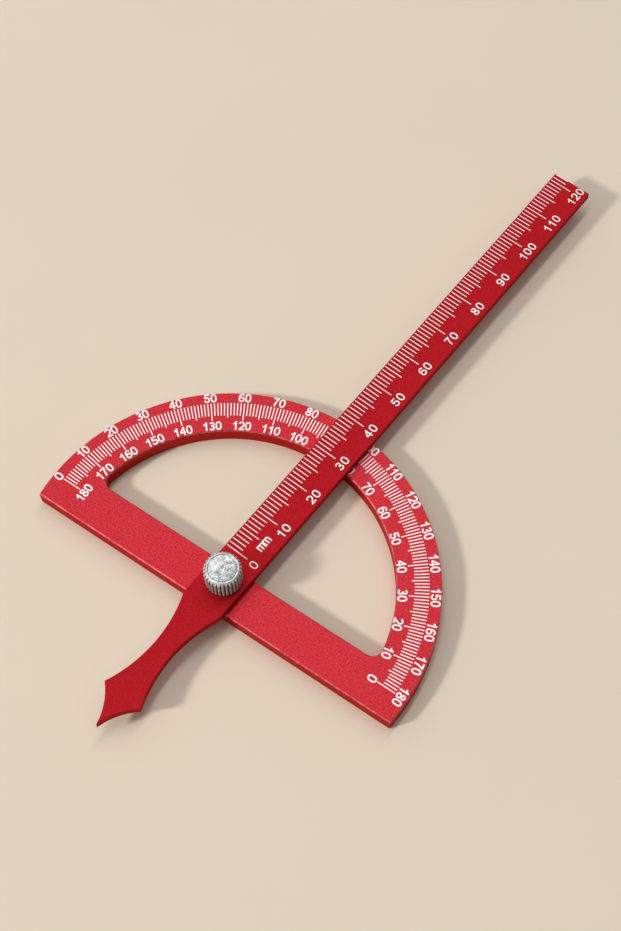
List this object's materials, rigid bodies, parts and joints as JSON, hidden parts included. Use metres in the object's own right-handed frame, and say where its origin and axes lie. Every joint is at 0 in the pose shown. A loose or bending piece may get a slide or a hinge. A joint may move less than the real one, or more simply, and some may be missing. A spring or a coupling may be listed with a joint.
{
  "type": "bevel protractor",
  "caption": "Flat bevel protractor: half-disc degree head with a window, swinging millimetre ruler arm with an arrow tail, knurled thumb nut on the pivot.",
  "frame": {"origin": "on the pivot axis, in the plane of the head's flat back face", "axes": "+X along the straight base edge towards the end where the inner scale reads 0, +Y from the base bar towards the middle of the arc, +Z out of the graduated face"},
  "size_m": [0.0912, 0.1684, 0.012],
  "materials": {
    "head_anodised": "bead-blasted, red anodised aluminium with white print",
    "arm_anodised": "fine matte, deep red anodised aluminium with white print",
    "screw_steel": "zinc-plated steel",
    "washer_steel": "plain stainless steel",
    "nut_steel": "knurled stainless steel, turned and tumbled face"
  },
  "bodies": {
    "head": {"head_plate": "head_anodised", "pivot_screw": "screw_steel"},
    "arm": {"ruler_arm": "arm_anodised"},
    "washer": {"captive_washer": "washer_steel"},
    "nut": {"thumb_nut": "nut_steel"}
  },
  "joints": [
    {"name": "arm_swing", "type": "hinge", "parent": "head", "child": "arm", "pos_m": [0, 0, 0.005], "axis": [0, 0, 1], "continuous": true},
    {"name": "nut_lift", "type": "slide", "parent": "head", "child": "washer", "axis": [0, 0, 1], "range_m": [0, 0.0035]},
    {"name": "nut_turn", "type": "hinge", "parent": "washer", "child": "nut", "pos_m": [0, 0, 0.0065], "axis": [0, 0, 1], "range_deg": [0, 2520]}
  ],
  "couplings": [
    {"joint": "nut_turn", "follows": "nut_lift", "rad_per_m": 12566}
  ]
}
